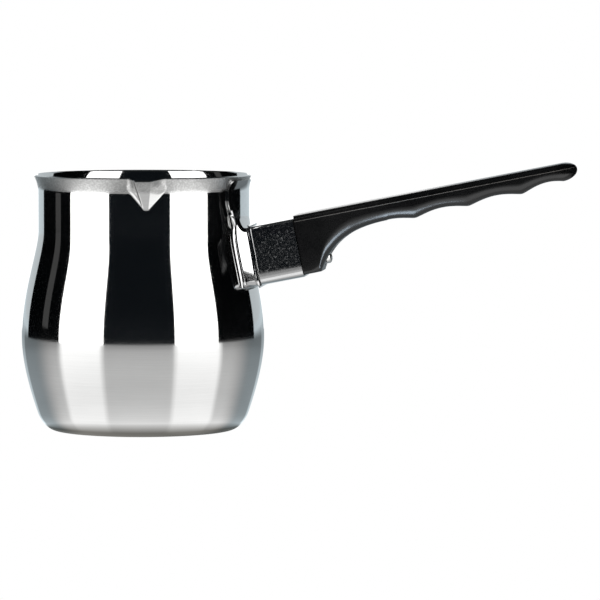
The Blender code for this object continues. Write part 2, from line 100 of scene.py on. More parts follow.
# The handle's frame, from the sleeve's box
HANDLE_SLOPE = radians(11.2)
SLEEVE_LENGTH = 18.0
HANDLE_X = (SLEEVE_LOW.x + SLEEVE_HIGH.x) / 2 / MM - SLEEVE_LENGTH / 2 * cos(HANDLE_SLOPE)
HANDLE_Z = (SLEEVE_LOW.z + SLEEVE_HIGH.z) / 2 / MM - SLEEVE_LENGTH / 2 * sin(HANDLE_SLOPE)

# The bracket: angles in degrees from the handle's plane
SHEET = 0.7
WALL_OFFSET = 0.9  # of its outer side from the pot
FLANGE_LIFT = 0.18  # rise of the flange behind its rounded edge
FLANGE_LIFT_TOP_Z = 78.0  # from here up the rise fades out
FLANGE_LIFT_RUN = 8.0
FLANGE_BEND = 0.2  # share of the flange that is rounded
FLANGE_STEPS = 18
PLATE_ANGLE = 24.5
PLATE_CORNER = 0.6
PLATE_BOTTOM_Z = 59.5
TONGUE_ANGLE = 29.3
TONGUE_CORNER = 4.5
TONGUE_TOP_Z = 103.2
TONGUE_BLEND_Z = 85.0  # where the plate starts to widen into the tongue
TONGUE_BLEND_RUN = 10.0
SOCKET_ANGLE = 21.8
SOCKET_TOP_Z = 88.0
SOCKET_BOTTOM_Z = 60.6
SOCKET_CORNER = 3.0
SOCKET_STEPS = 24
FILLET = 1.6  # sag of the socket's roof where it leaves the tongue
FILLET_START_Z = 82.0
FILLET_RUN = 6.0
MOUTH_TOP = 12.2  # heights across the handle's axis
MOUTH_BOTTOM = -12.4
MOUTH_HALF_TOP = 12.5
MOUTH_HALF_BOTTOM = 13.6
MOUTH_TOP_CORNER = 2.4
MOUTH_BOTTOM_CORNER = 3.4
MOUTH_BACK_TOP = -0.7  # the mouth's set-back from the sleeve
MOUTH_BACK_BOTTOM = -1.1
MOUTH_LIP = 0.7  # flare of the mouth's edge, outwards and forwards
MOUTH_LIP_FORWARD = 0.2
OUTLINE_COUNTS = (12, 10, 30, 12, 12)  # bottom, corner, side, corner, top

# The sleeve
SLEEVE_HALF_WIDTH = 11.5
SLEEVE_HALF_HEIGHT = 12.15
SLEEVE_WALL = 0.6
SLEEVE_TOP_CORNER = 2.2
SLEEVE_BOTTOM_CORNER = 3.6
SLEEVE_EDGE = 0.16  # length of the cut edge's rounding
SLEEVE_EDGE_MIDDLE = (0.05, 0.1)  # the rounding's middle, along the sleeve and into its wall
SLEEVE_INSIDE = 0.35  # where the inner side's first ring is
SLEEVE_MARGIN = 0.6
SLEEVE_STATIONS = 9
SLEEVE_SECTION_STEPS = 8

# Rounded sections around the handle: the most that a corner takes of the height and of the half width
CORNER_OF_HEIGHT = 0.49
CORNER_OF_HALF = 0.95

# The grip
GRIP_START = 18.3
GRIP_END = 135.1
GRIP_TOP = 13.22
GRIP_ROOT_BOTTOM = -11.25
GRIP_ROOT_END = 25.2
GRIP_HALF_ROOT = 11.0
GRIP_HALF_TIP = 8.4
GRIP_TAPER_START = 40.0
GRIP_TAPER_RUN = 70.0
TOP_CORNER = 2.35
BOTTOM_CORNER = 5.5
ROOT_CORNER = 1.6
ROOT_BLEND_START = 21.0  # where the root's sharp corner starts to soften
ROOT_BLEND_RUN = 9.0
ROOT_EDGE = 0.3  # spacing of the first rings
ROOT_STATIONS = 12
TENON_START = 12.0
TENON_CLEARANCE = 0.35
TENON_LIFT = 0.1
TENON_SOFTNESS = 0.3
ARCH_END = 56.0
ARCH_HEIGHT = 4.12
ARCH_LEAN = 62.0
ARCH_PULLS = (11.5, 16.5)  # lengths of the arch's curve handles
ARCH_STEPS = 60
ARCH_STATIONS = 48
ARCH_CROWDING = 1.4  # over 1, the rings are closer together at the root
GROOVE_STATIONS = 130
RIDGE_START = 66.9  # first ridge between the finger grooves
RIDGE_HEIGHT = 2.85
RIDGE_RISE = 0.029
GROOVE_PITCH = 22.25
GROOVE_DEPTH = 1.97
WHOLE_GROOVES = 2.0  # after these comes the deeper one at the end
LAST_GROOVE_DEPTH = 2.75
RIDGE_SOFTNESS = 0.12
NOSE_START = 129.0
NOSE_HEIGHT = 10.05
NOSE_SIDE_START = 126.5  # where the sides start to close
NOSE_STATIONS = 20
NOSE_OPEN = 0.3  # share of a station that the nose's last ring stays short of the tip
SECTION_STEPS = 10
FLASH = 0.08  # the mould's parting line stands out by this much

# The screw: its height is across the handle's axis, and the other places are along it
AXIS_RADIUS = 0.02  # of its smallest ring, at each end
SCREW_HEIGHT = -5.85
SCREW_RADIUS = 2.0
SCREW_TIP = 0.8
TIP_CHAMFER = 0.6
HOLE_RADIUS = 2.3
HOLE_START = 5.0
HOLE_END = 40.0
SEAT = 25.9
COUNTERBORE_RADIUS = 3.6
COUNTERBORE_END = 44.0
HEAD_RADIUS = 3.0
HEAD_HEIGHT = 2.5
HEAD_UNDER = 27.4
HEAD_DOME = 0.62  # share of the head's height that is domed
HEAD_STEPS = 12
HEAD_CHAMFER = 0.15
RECESS_WIDTH = 0.9
RECESS_SPAN = 3.4
RECESS_DEPTH = 1.2

# Angles over which an edge is shown sharp
SHARP = 40.0
SHARP_POT = 50.0
SHARP_SCREW = 35.0


# ---------------------------------------------------------------- mesh tools

def smoothstep(t):
    """An even rise from 0 to 1, flat at both ends."""
    t = min(max(t, 0.0), 1.0)
    return t * t * (3.0 - 2.0 * t)


def bezier(p0, p1, p2, p3, steps):
    """Points of a cubic curve, without its first one."""
    points = []
    for i in range(1, steps + 1):
        t = i / steps
        weights = ((1 - t) ** 3, 3 * (1 - t) ** 2 * t, 3 * (1 - t) * t * t, t ** 3)
        points.append(tuple(sum(w * p[k] for w, p in zip(weights, (p0, p1, p2, p3))) for k in (0, 1)))
    return points


def smoothed(mesh, sharp=SHARP):
    mesh.shade_smooth()
    mesh.set_sharp_from_angle(angle=radians(sharp))


def mesh_object(name, points, faces, finish, sharp=SHARP):
    mesh = bpy.data.meshes.new(name)
    mesh.from_pydata([tuple(Vector(p) * MM) for p in points], [], faces)
    mesh.validate()
    mesh.materials.append(finish)
    smoothed(mesh, sharp)
    obj = bpy.data.objects.new(name, mesh)
    bpy.context.scene.collection.objects.link(obj)
    return obj


def lattice_faces(rows, columns, closed):
    """Four-sided faces between equal rows of points."""
    faces = []
    for j in range(rows - 1):
        for i in range(columns if closed else columns - 1):
            k = (i + 1) % columns
            faces.append((j * columns + i, j * columns + k, (j + 1) * columns + k, (j + 1) * columns + i))
    return faces


def end_faces(rows, columns):
    """One face over the first row of a closed lattice and one over its last."""
    last = (rows - 1) * columns
    return [list(range(columns)), [last + i for i in range(columns)][::-1]]


def facing_out(obj):
    bm = bmesh.new()
    bm.from_mesh(obj.data)
    bmesh.ops.recalc_face_normals(bm, faces=bm.faces)
    bm.to_mesh(obj.data)
    bm.free()
    return obj


def baked(obj):
    """Makes the object's modifiers part of its mesh."""
    graph = bpy.context.evaluated_depsgraph_get()
    mesh = bpy.data.meshes.new_from_object(obj.evaluated_get(graph))
    obj.modifiers.clear()
    obj.data = mesh
    return obj


def cut_away(obj, cutters, sharp=SHARP):
    for cutter in cutters:
        hole = obj.modifiers.new("cut", "BOOLEAN")
        hole.operation = "DIFFERENCE"
        hole.solver = "EXACT"
        hole.object = cutter
    baked(obj)
    for cutter in cutters:
        bpy.data.objects.remove(cutter, do_unlink=True)
    smoothed(obj.data, sharp)
    return obj


def handle_point(along, side, across):
    """A point of the handle's frame, in the pot's."""
    x = HANDLE_X + along * cos(HANDLE_SLOPE) - across * sin(HANDLE_SLOPE)
    z = HANDLE_Z + along * sin(HANDLE_SLOPE) + across * cos(HANDLE_SLOPE)
    return Vector((x, side, z))


def turned(name, profile, finish, segments=64):
    """A solid turned around the screw's axis, from the (radius, along) points of its outer side."""
    points = []
    for radius, along in profile:
        for i in range(segments):
            turn = 2 * pi * i / segments
            points.append(handle_point(along, radius * cos(turn), SCREW_HEIGHT + radius * sin(turn)))
    faces = lattice_faces(len(profile), segments, True) + end_faces(len(profile), segments)
    return facing_out(mesh_object(name, points, faces, finish))


# ---------------------------------------------------------------- the pot

def pot_profile():
    """The outer side as (radius, height), from the rim down to the edge of the flat base."""
    flare, neck, shoulder, belly, corner = PROFILE_STEPS
    points = []
    for i in range(flare + 1):
        z = RIM_Z - (RIM_Z - NECK_TOP_Z) * i / flare
        rise = (z - NECK_TOP_Z) / (RIM_Z - NECK_TOP_Z)
        points.append((NECK_RADIUS + (RIM_RADIUS - NECK_RADIUS) * rise * rise, z))
    for i in range(1, neck + 1):
        points.append((NECK_RADIUS, NECK_TOP_Z - (NECK_TOP_Z - NECK_BOTTOM_Z) * i / neck))
    neck_foot = (NECK_RADIUS, NECK_BOTTOM_Z)
    widest = (BELLY_RADIUS, BELLY_Z)
    heel = (HEEL_RADIUS, HEEL_Z)
    points += bezier(neck_foot, (NECK_RADIUS, SHOULDER_PULLS[0]), (BELLY_RADIUS, SHOULDER_PULLS[1]), widest,
                     shoulder)
    points += bezier(widest, (BELLY_RADIUS, BELLY_PULLS[0]), BELLY_PULLS[1], heel, belly)
    points += bezier(heel, *CORNER_PULLS, (BASE_RADIUS, 0.0), corner)
    return points


PROFILE = pot_profile()


def wall_radius(z):
    heights = [p[1] for p in PROFILE[::-1]]
    radii = [p[0] for p in PROFILE[::-1]]
    return float(np.interp(z, heights, radii))


def inner_profile():
    """The inner side, from the rim down, one wall in along the profile's normal."""
    points = []
    for i, (r, z) in enumerate(PROFILE):
        r0, z0 = PROFILE[max(i - 1, 0)]
        r1, z1 = PROFILE[min(i + 1, len(PROFILE) - 1)]
        length = sqrt((r1 - r0) ** 2 + (z1 - z0) ** 2)
        points.append((r + POT_WALL * (z1 - z0) / length, z - POT_WALL * (r1 - r0) / length))
    return points


def pot_section():
    """The section as (radius, height, height that the lip sees), from inside the floor to under it.

    Also gives how many of its points are inside or on the rim's edge.
    """
    inner = inner_profile()
    section = [(BASE_RADIUS * k, POT_WALL, POT_WALL) for k in FLOOR_RINGS]
    section += [(r, z, z) for r, z in inner[:0:-1]]
    (ri, zi), (ro, zo) = inner[0], PROFILE[0]
    quarter = [pi / 2 * share for share in RIM_TURNS]
    section += [(ri + RIM_EDGE * (1 - cos(a)), zi - RIM_EDGE * (1 - sin(a)), zo) for a in quarter]
    section += [(ro - RIM_EDGE * (1 - sin(a)), zo - RIM_EDGE * (1 - cos(a)), zo) for a in quarter]
    inside = len(section) - 1
    section += [(r, z, z) for r, z in PROFILE[1:]]
    under = [(BASE_RADIUS * k, BASE_DISH * (1 - k)) for k in UNDER_RINGS]
    section += [(r, z, z) for r, z in under]
    return section, inside


def lip_shift(radius, angle, z):
    """How far the pouring lip pushes the wall out, how far it lowers it, and how much painted shade its fold
    gets here.
    """
    fall = (z - (RIM_Z - LIP_DEPTH)) / LIP_DEPTH
    if fall <= 0.0 or radius < NECK_RADIUS / 2:
        return 0.0, 0.0, 0.0
    arc = radius * (angle - radians(LIP_ANGLE))
    outer = LIP_FOOT + LIP_SPREAD * min(fall / LIP_SPREAD_END, 1.0)
    foot, widening, power = LIP_FACE_RIGHT if arc > 0.0 else LIP_FACE_LEFT
    inner = min(foot + widening * fall, LIP_FACE_LIMIT * outer)
    down = min(max((abs(arc) - inner) / (outer - inner), 0.0), 1.0)
    power += LIP_BLEND * smoothstep((fall - LIP_SPREAD_END) / (1.0 - LIP_SPREAD_END))
    share = fall * (1.0 - down) ** power
    fold = 0.0
    if arc < 0.0:
        fold = smoothstep(1.0 - abs(abs(arc) - inner - LIP_FOLD_HALF) / LIP_FOLD_HALF)
    out = LIP_REACH * share - LIP_FOLD * fall * fold
    # the third value is the fold's painted shade, full a quarter of the way up the lip
    return out, LIP_DROP * share * fall, fold * min(LIP_FOLD_SHADE * fall, 1.0)


def pot_angles():
    """Columns around the pot, closer together over the lip."""
    near = radians(LIP_HALF_TURN)
    start = radians(LIP_ANGLE) - near
    fine = [start + 2 * near * i / LIP_COLUMNS for i in range(LIP_COLUMNS)]
    rest = 2 * pi - 2 * near
    return fine + [start + 2 * near + rest * i / OTHER_COLUMNS for i in range(OTHER_COLUMNS)]


def build_pot(finish):
    """The drawn shell, with marks on its outer side where the skin is pebbled and where the fold's painted
    shade lies.
    """
    section, inside = pot_section()
    angles = pot_angles()
    points = []
    stretched = []
    fold_painted_shade = []
    for row, (radius, z, seen) in enumerate(section):
        outer = 1.0 if row >= inside else 0.0
        for angle in angles:
            turn = (angle + pi) % (2 * pi) - pi
            out, down, fold = lip_shift(radius, turn, seen)
            points.append(((radius + out) * cos(angle), (radius + out) * sin(angle), z - down))
            stretched.append(outer * smoothstep((z - STRETCH_START) / STRETCH_RUN))
            # painted shade for the fold, on the outer side only
            fold_painted_shade.append(outer * fold)
    faces = lattice_faces(len(section), len(angles), True) + end_faces(len(section), len(angles))
    pot = facing_out(mesh_object("pot_shell", points, faces, finish, SHARP_POT))
    for name, values in (("stretched", stretched), ("fold_painted_shade", fold_painted_shade)):
        layer = pot.data.attributes.new(name, "FLOAT", "POINT")
        layer.data.foreach_set("value", values)
    return pot


# ---------------------------------------------------------------- the bracket

def wall_point(angle, z, off):
    radius = wall_radius(z) + off
    return Vector((radius * cos(radians(angle)), radius * sin(radians(angle)), z))


def half_outline(bottom, top, half, corner_bottom, corner_top):
    """The right half of an upright rounded outline, from bottom centre to top centre."""
    along_bottom, low_corner, up_side, high_corner, along_top = OUTLINE_COUNTS
    points = []
    low = half(bottom + corner_bottom)
    for i in range(along_bottom):
        points.append(((low - corner_bottom) * i / along_bottom, bottom))
    for i in range(low_corner):
        turn = pi / 2 * i / low_corner
        points.append((low - corner_bottom * (1 - sin(turn)), bottom + corner_bottom * (1 - cos(turn))))
    for i in range(up_side):
        z = bottom + corner_bottom + (top - corner_top - bottom - corner_bottom) * i / up_side
        points.append((half(z), z))
    high = half(top - corner_top)
    for i in range(high_corner):
        turn = pi / 2 * i / high_corner
        points.append((high - corner_top * (1 - cos(turn)), top - corner_top * (1 - sin(turn))))
    for i in range(along_top + 1):
        points.append(((high - corner_top) * (1 - i / along_top), top))
    return points


def outline(bottom, top, half, corner_bottom, corner_top):
    right = half_outline(bottom, top, half, corner_bottom, corner_top)
    return right + [(-x, z) for x, z in right[-2:0:-1]]


def plate_half_angle(z):
    return PLATE_ANGLE + (TONGUE_ANGLE - PLATE_ANGLE) * smoothstep((z - TONGUE_BLEND_Z) / TONGUE_BLEND_RUN)


def mouth_share(h):
    return (MOUTH_TOP - h) / (MOUTH_TOP - MOUTH_BOTTOM)


def mouth_half(h):
    return MOUTH_HALF_TOP + (MOUTH_HALF_BOTTOM - MOUTH_HALF_TOP) * mouth_share(h)


def mouth_back(h):
    return MOUTH_BACK_TOP + (MOUTH_BACK_BOTTOM - MOUTH_BACK_TOP) * mouth_share(h)


def bracket_rings():
    """The sheet's outer side as rings, from the plate's edge over the socket to its flared mouth."""
    edge = outline(PLATE_BOTTOM_Z, TONGUE_TOP_Z, plate_half_angle, PLATE_CORNER, TONGUE_CORNER)
    root = outline(SOCKET_BOTTOM_Z, SOCKET_TOP_Z, lambda z: SOCKET_ANGLE, SOCKET_CORNER, SOCKET_CORNER)
    mouth = outline(MOUTH_BOTTOM, MOUTH_TOP, mouth_half, MOUTH_BOTTOM_CORNER, MOUTH_TOP_CORNER)
    rings = []
    for i in range(FLANGE_STEPS + 1):
        step = i / FLANGE_STEPS
        ring = []
        for (a0, z0), (a1, z1) in zip(edge, root):
            lift = FLANGE_LIFT * (1.0 - smoothstep((z1 - FLANGE_LIFT_TOP_Z) / FLANGE_LIFT_RUN))
            rise = lift * min(step / FLANGE_BEND, 1.0)
            ring.append(wall_point(a0 + (a1 - a0) * step, z0 + (z1 - z0) * step, WALL_OFFSET + rise))
        rings.append(ring)
    base = rings[-1]
    front = [handle_point(mouth_back(h), side, h) for side, h in mouth]
    for i in range(1, SOCKET_STEPS + 1):
        step = i / SOCKET_STEPS
        ring = []
        for start, end in zip(base, front):
            point = start.lerp(end, step)
            point.z -= FILLET * smoothstep((start.z - FILLET_START_Z) / FILLET_RUN) * sin(pi * step)
            ring.append(point)
        rings.append(ring)
    grow = 1.0 + MOUTH_LIP / MOUTH_TOP
    for_lip = [(mouth_back(h) + MOUTH_LIP_FORWARD, side * grow, h * grow) for side, h in mouth]
    rings.append([handle_point(*place) for place in for_lip])
    return rings


def build_bracket(finish):
    rings = bracket_rings()
    points = [p for ring in rings for p in ring]
    sheet = mesh_object("bracket_sheet", points, lattice_faces(len(rings), len(rings[0]), True), finish)
    wall = sheet.modifiers.new("wall", "SOLIDIFY")
    wall.thickness = SHEET * MM
    wall.offset = -1.0
    wall.use_even_offset = False
    baked(sheet)
    smoothed(sheet.data)
    return sheet


# ---------------------------------------------------------------- the sleeve

def between(start, end, steps):
    """The points that divide a straight run into equal steps, without its ends."""
    (x0, y0), (x1, y1) = start, end
    return [(x0 + (x1 - x0) * i / steps, y0 + (y1 - y0) * i / steps) for i in range(1, steps)]


def section_points(half, top, bottom, top_corner, bottom_corner, steps, flash=0.0):
    """(side, across) points around the handle: a flat top with small corners, and a rounder underside.

    A flash is a small ridge along both sides, just under the top's corners.
    """
    most = CORNER_OF_HEIGHT * (top - bottom)
    top_corner = min(top_corner, most, CORNER_OF_HALF * half)
    bottom_corner = min(bottom_corner, most, CORNER_OF_HALF * half)
    high = top - top_corner
    low = bottom + bottom_corner
    corners = ((1, high, top_corner, 0), (-1, high, top_corner, 90),
               (-1, low, bottom_corner, 180), (1, low, bottom_corner, 270))
    arcs = []
    for side, level, radius, start in corners:
        middle = side * (half - radius)
        turns = [radians(start + 90 * i / steps) for i in range(steps + 1)]
        arcs.append([(middle + radius * cos(turn), level + radius * sin(turn)) for turn in turns])
    points = []
    for k, arc in enumerate(arcs):
        end = arc[-1]
        after = arcs[(k + 1) % 4][0]
        run = between(end, after, steps)
        if flash and k == 1:
            run = [(end[0] - flash, end[1] - flash), (end[0], end[1] - 2 * flash)] + run
        if flash and k == 3:
            run += [(after[0], after[1] - 2 * flash), (after[0] + flash, after[1] - flash)]
        points += arc + run
    return points


def build_sleeve(finish):
    """The bent sheet with rounded cut edges, as a closed tube whose inner side joins its two ends."""
    middle, bevel = SLEEVE_EDGE_MIDDLE
    edge = [(SLEEVE_INSIDE, SLEEVE_WALL), (SLEEVE_EDGE, SLEEVE_WALL), (middle, SLEEVE_WALL - bevel),
            (0.0, SLEEVE_WALL / 2), (middle, bevel), (SLEEVE_EDGE, 0.0)]
    plain = np.linspace(SLEEVE_MARGIN, SLEEVE_LENGTH - SLEEVE_MARGIN, SLEEVE_STATIONS)
    stations = edge + [(along, 0.0) for along in plain]
    stations += [(SLEEVE_LENGTH - along, inset) for along, inset in edge[::-1]]
    points = []
    for along, inset in stations:
        ring = section_points(SLEEVE_HALF_WIDTH - inset, SLEEVE_HALF_HEIGHT - inset,
                              inset - SLEEVE_HALF_HEIGHT, SLEEVE_TOP_CORNER - inset,
                              SLEEVE_BOTTOM_CORNER - inset, SLEEVE_SECTION_STEPS)
        points += [handle_point(along, side, across) for side, across in ring]
    columns = len(ring)
    faces = lattice_faces(len(stations), columns, True)
    last = (len(stations) - 1) * columns
    for i in range(columns):
        k = (i + 1) % columns
        faces.append((last + i, last + k, k, i))
    return facing_out(mesh_object("sleeve_sheet", points, faces, finish))


# ---------------------------------------------------------------- the grip

def arch_curve():
    lean = radians(ARCH_LEAN)
    start = (GRIP_ROOT_END, GRIP_ROOT_BOTTOM)
    rise = (start[0] + ARCH_PULLS[0] * cos(lean), start[1] + ARCH_PULLS[0] * sin(lean))
    level = (ARCH_END - ARCH_PULLS[1], ARCH_HEIGHT)
    return [start] + bezier(start, rise, level, (ARCH_END, ARCH_HEIGHT), ARCH_STEPS)


ARCH = arch_curve()


def grip_underside(along):
    """The height of the underside: a root, a concave arch, then finger grooves between soft ridges."""
    if along <= GRIP_ROOT_END:
        return GRIP_ROOT_BOTTOM
    if along < ARCH_END:
        return float(np.interp(along, [p[0] for p in ARCH], [p[1] for p in ARCH]))
    turn = (along - RIDGE_START) / GROOVE_PITCH
    depth = LAST_GROOVE_DEPTH if turn > WHOLE_GROOVES else GROOVE_DEPTH
    wave = sqrt(sin(pi * turn) ** 2 + RIDGE_SOFTNESS ** 2) - RIDGE_SOFTNESS
    return RIDGE_HEIGHT + RIDGE_RISE * (along - RIDGE_START) + depth * wave


def grip_size(along):
    """Half width, top and underside of the grip at a distance along it."""
    top = GRIP_TOP
    bottom = grip_underside(min(along, NOSE_START))
    taper = smoothstep((along - GRIP_TAPER_START) / GRIP_TAPER_RUN)
    half = GRIP_HALF_ROOT + (GRIP_HALF_TIP - GRIP_HALF_ROOT) * taper
    if along > NOSE_START:
        into = (along - NOSE_START) / (GRIP_END - NOSE_START)
        left = sqrt(max(1.0 - into * into, 0.0))
        top = NOSE_HEIGHT + (top - NOSE_HEIGHT) * left
        bottom = NOSE_HEIGHT + (bottom - NOSE_HEIGHT) * left
    if along > NOSE_SIDE_START:
        into = (along - NOSE_SIDE_START) / (GRIP_END - NOSE_SIDE_START)
        half *= sqrt(max(1.0 - into * into, 0.0))
    return half, top, bottom


def grip_ring(along):
    half, top, bottom = grip_size(along)
    softer = smoothstep((along - ROOT_BLEND_START) / ROOT_BLEND_RUN)
    corner = ROOT_CORNER + (BOTTOM_CORNER - ROOT_CORNER) * softer
    ring = section_points(half, top, bottom, TOP_CORNER, corner, SECTION_STEPS, FLASH)
    return [handle_point(along, side, across) for side, across in ring]


def grip_stations():
    """Distances of the grip's rings, from its root to its tip."""
    arch = ARCH_END - GRIP_ROOT_END
    nose = GRIP_END - NOSE_START
    stations = [GRIP_START, GRIP_START + ROOT_EDGE]
    stations += list(np.linspace(GRIP_START + 2 * ROOT_EDGE, GRIP_ROOT_END, ROOT_STATIONS))
    shares = [i / ARCH_STATIONS for i in range(1, ARCH_STATIONS + 1)]
    stations += [GRIP_ROOT_END + arch * share ** ARCH_CROWDING for share in shares]
    stations += list(np.linspace(ARCH_END, NOSE_START, GROOVE_STATIONS + 1)[1:])
    quarter = pi / 2 / (NOSE_STATIONS + NOSE_OPEN)
    return stations + [NOSE_START + nose * sin(quarter * i) for i in range(1, NOSE_STATIONS + 1)]


def build_grip(finish):
    """The moulding with its tenon in the sleeve, bored for the screw and its head."""
    inset = SLEEVE_WALL + TENON_CLEARANCE
    tenon = section_points(SLEEVE_HALF_WIDTH - inset, SLEEVE_HALF_HEIGHT - inset,
                           inset + TENON_LIFT - SLEEVE_HALF_HEIGHT,
                           SLEEVE_TOP_CORNER - inset + TENON_SOFTNESS,
                           SLEEVE_BOTTOM_CORNER - inset + TENON_SOFTNESS, SECTION_STEPS, FLASH)
    rings = []
    for along in (TENON_START, GRIP_START):
        rings.append([handle_point(along, side, across) for side, across in tenon])
    rings += [grip_ring(along) for along in grip_stations()]
    columns = len(rings[0])
    points = [p for ring in rings for p in ring]
    faces = lattice_faces(len(rings), columns, True) + end_faces(len(rings), columns)
    grip = facing_out(mesh_object("grip_moulding", points, faces, finish))
    hole = turned("cut_hole", [(HOLE_RADIUS, HOLE_START), (HOLE_RADIUS, HOLE_END)], finish)
    bore = turned("cut_bore", [(COUNTERBORE_RADIUS, SEAT), (COUNTERBORE_RADIUS, COUNTERBORE_END)], finish)
    return cut_away(grip, [hole, bore])


# ---------------------------------------------------------------- the screw

def block_cutter(along, half_depth, half_side, half_across, finish):
    """A block centred on the screw's axis."""
    corners = [(s, a, h) for s in (-half_depth, half_depth) for a in (-half_side, half_side)
               for h in (-half_across, half_across)]
    points = [handle_point(along + s, a, SCREW_HEIGHT + h) for s, a, h in corners]
    faces = [(0, 1, 3, 2), (4, 6, 7, 5), (0, 4, 5, 1), (2, 3, 7, 6), (0, 2, 6, 4), (1, 5, 7, 3)]
    return facing_out(mesh_object("cut_recess", points, faces, finish))


def build_screw(finish):
    """A pan head with a cross recess, on a plain shank with a chamfered tip."""
    top = HEAD_UNDER + HEAD_HEIGHT
    dome = HEAD_DOME * HEAD_HEIGHT
    profile = [(AXIS_RADIUS, top)]
    for i in range(1, HEAD_STEPS + 1):
        turn = pi / 2 * i / HEAD_STEPS
        profile.append((HEAD_RADIUS * sin(turn), top - dome * (1 - cos(turn))))
    profile += [(HEAD_RADIUS, HEAD_UNDER + HEAD_CHAMFER), (HEAD_RADIUS - HEAD_CHAMFER, HEAD_UNDER),
                (SCREW_RADIUS, HEAD_UNDER), (SCREW_RADIUS, SCREW_TIP + TIP_CHAMFER),
                (SCREW_RADIUS - TIP_CHAMFER, SCREW_TIP), (AXIS_RADIUS, SCREW_TIP)]
    screw = turned("screw_turned", profile, finish)
    span = RECESS_SPAN / 2
    slot = RECESS_WIDTH / 2
    cutters = [block_cutter(top, RECESS_DEPTH, span, slot, finish),
               block_cutter(top, RECESS_DEPTH, slot, span, finish)]
    return cut_away(screw, cutters, SHARP_SCREW)


# ---------------------------------------------------------------- materials

EVEN = (1.0, 1.0, 1.0)
SPIN_LINES = (0.012, 0.012, 1.0)  # a noise drawn out sideways, into lines around the pot
SHEET_LINES = (0.2, 0.2, 1.0)
NOISE_LOW = 0.3  # a noise lies mostly between these
NOISE_HIGH = 0.7
LINE_SHARE = 0.55  # of the lines in the steel's colour, beside the smudges
PEBBLED = (0.36, 0.36, 0.355)
# Painted shade laid into the fold left of the pouring lip, and how fully it covers the steel's colour
FOLD_PAINTED_SHADE = (0.02, 0.02, 0.02)
FOLD_SHADE_COVER = 0.93
RESIN_BLACK = (0.0006, 0.0006, 0.0008)
# Painted highlight: a lighter colour laid along the grip's parting line
RESIN_PAINTED_HIGHLIGHT = (0.16, 0.15, 0.14)
HIGHLIGHT_LINE_HALF = (0.08, 0.18)  # half width of the painted highlight along the parting line, full and at its faded edge


class Surface:
    """A material and short ways to add nodes to it."""

    def __init__(self, name):
        self.material = bpy.data.materials.new(name)
        self.material.use_nodes = True
        self.tree = self.material.node_tree
        self.shader = self.tree.nodes["Principled BSDF"]

    def node(self, kind, **settings):
        made = self.tree.nodes.new(kind)
        for key, value in settings.items():
            setattr(made, key, value)
        return made

    def link(self, source, target):
        self.tree.links.new(source, target)

    def mark(self, name):
        """A value stored on the mesh's points."""
        return self.node("ShaderNodeAttribute", attribute_name=name).outputs["Fac"]

    def noise(self, scale, detail=2.0, rough=0.5, stretch=EVEN):
        """A noise in the object's own coordinates."""
        coordinates = self.node("ShaderNodeTexCoord")
        mapping = self.node("ShaderNodeMapping")
        mapping.inputs["Scale"].default_value = stretch
        self.link(coordinates.outputs["Object"], mapping.inputs["Vector"])
        made = self.node("ShaderNodeTexNoise")
        made.inputs["Scale"].default_value = scale
        made.inputs["Detail"].default_value = detail
        made.inputs["Roughness"].default_value = rough
        self.link(mapping.outputs["Vector"], made.inputs["Vector"])
        return made.outputs["Fac"]

    def span(self, value, low, high, to_low, to_high):
        """A value's range moved to another one, and kept inside it."""
        made = self.node("ShaderNodeMapRange")
        made.inputs["From Min"].default_value = low
        made.inputs["From Max"].default_value = high
        made.inputs["To Min"].default_value = to_low
        made.inputs["To Max"].default_value = to_high
        self.link(value, made.inputs["Value"])
        return made.outputs["Result"]

    def vary(self, noise, to_low, to_high):
        """A noise spread over a range."""
        return self.span(noise, NOISE_LOW, NOISE_HIGH, to_low, to_high)

    def math(self, kind, a, b=0.0):
        made = self.node("ShaderNodeMath", operation=kind)
        for socket, value in zip(made.inputs, (a, b)):
            if isinstance(value, (int, float)):
                socket.default_value = value
            else:
                self.link(value, socket)
        return made.outputs[0]

    def tint(self, factor, dark, light):
        """Sets the base colour to a mix of two."""
        made = self.node("ShaderNodeMix", data_type="RGBA")
        self.link(factor, made.inputs["Factor"])
        made.inputs["A"].default_value = (*dark, 1.0)
        made.inputs["B"].default_value = (*light, 1.0)
        self.link(made.outputs["Result"], self.shader.inputs["Base Color"])

    def overlay(self, factor, colour):
        """Mixes one more colour into the base colour."""
        base = self.shader.inputs["Base Color"]
        made = self.node("ShaderNodeMix", data_type="RGBA")
        self.link(factor, made.inputs["Factor"])
        self.link(base.links[0].from_socket, made.inputs["A"])
        made.inputs["B"].default_value = (*colour, 1.0)
        self.link(made.outputs["Result"], base)

    def bump(self, height, strength, distance, under=None):
        """A bumped normal, for a full height of that distance in metres, over another one."""
        made = self.node("ShaderNodeBump")
        made.inputs["Strength"].default_value = strength
        made.inputs["Distance"].default_value = distance
        self.link(height, made.inputs["Height"])
        if under:
            self.link(under, made.inputs["Normal"])
        return made.outputs["Normal"]


def drawn_skin(made, roughness, fine):
    """What only the drawn pot has: a duller pebbled flare, painted shade in the fold, and a gloss that runs
    around it.
    """
    stretched = made.mark("stretched")
    pebble = made.noise(1500.0, rough=0.6)
    made.overlay(made.math("MULTIPLY", stretched, made.vary(pebble, 0.45, 1.3)), PEBBLED)
    # painted shade in the fold left of the lip
    made.overlay(made.math("MULTIPLY", made.mark("fold_painted_shade"), FOLD_SHADE_COVER), FOLD_PAINTED_SHADE)
    made.shader.inputs["Anisotropic"].default_value = 0.6
    made.shader.inputs["Anisotropic Rotation"].default_value = 0.25
    tangent = made.node("ShaderNodeTangent", direction_type="RADIAL", axis="Z")
    made.link(tangent.outputs["Tangent"], made.shader.inputs["Tangent"])
    rougher = made.math("MULTIPLY", stretched, made.vary(pebble, 0.22, 0.42))
    bumps = made.math("MULTIPLY", pebble, stretched)
    return made.math("ADD", roughness, rougher), made.bump(bumps, 0.9, 0.00009, fine)


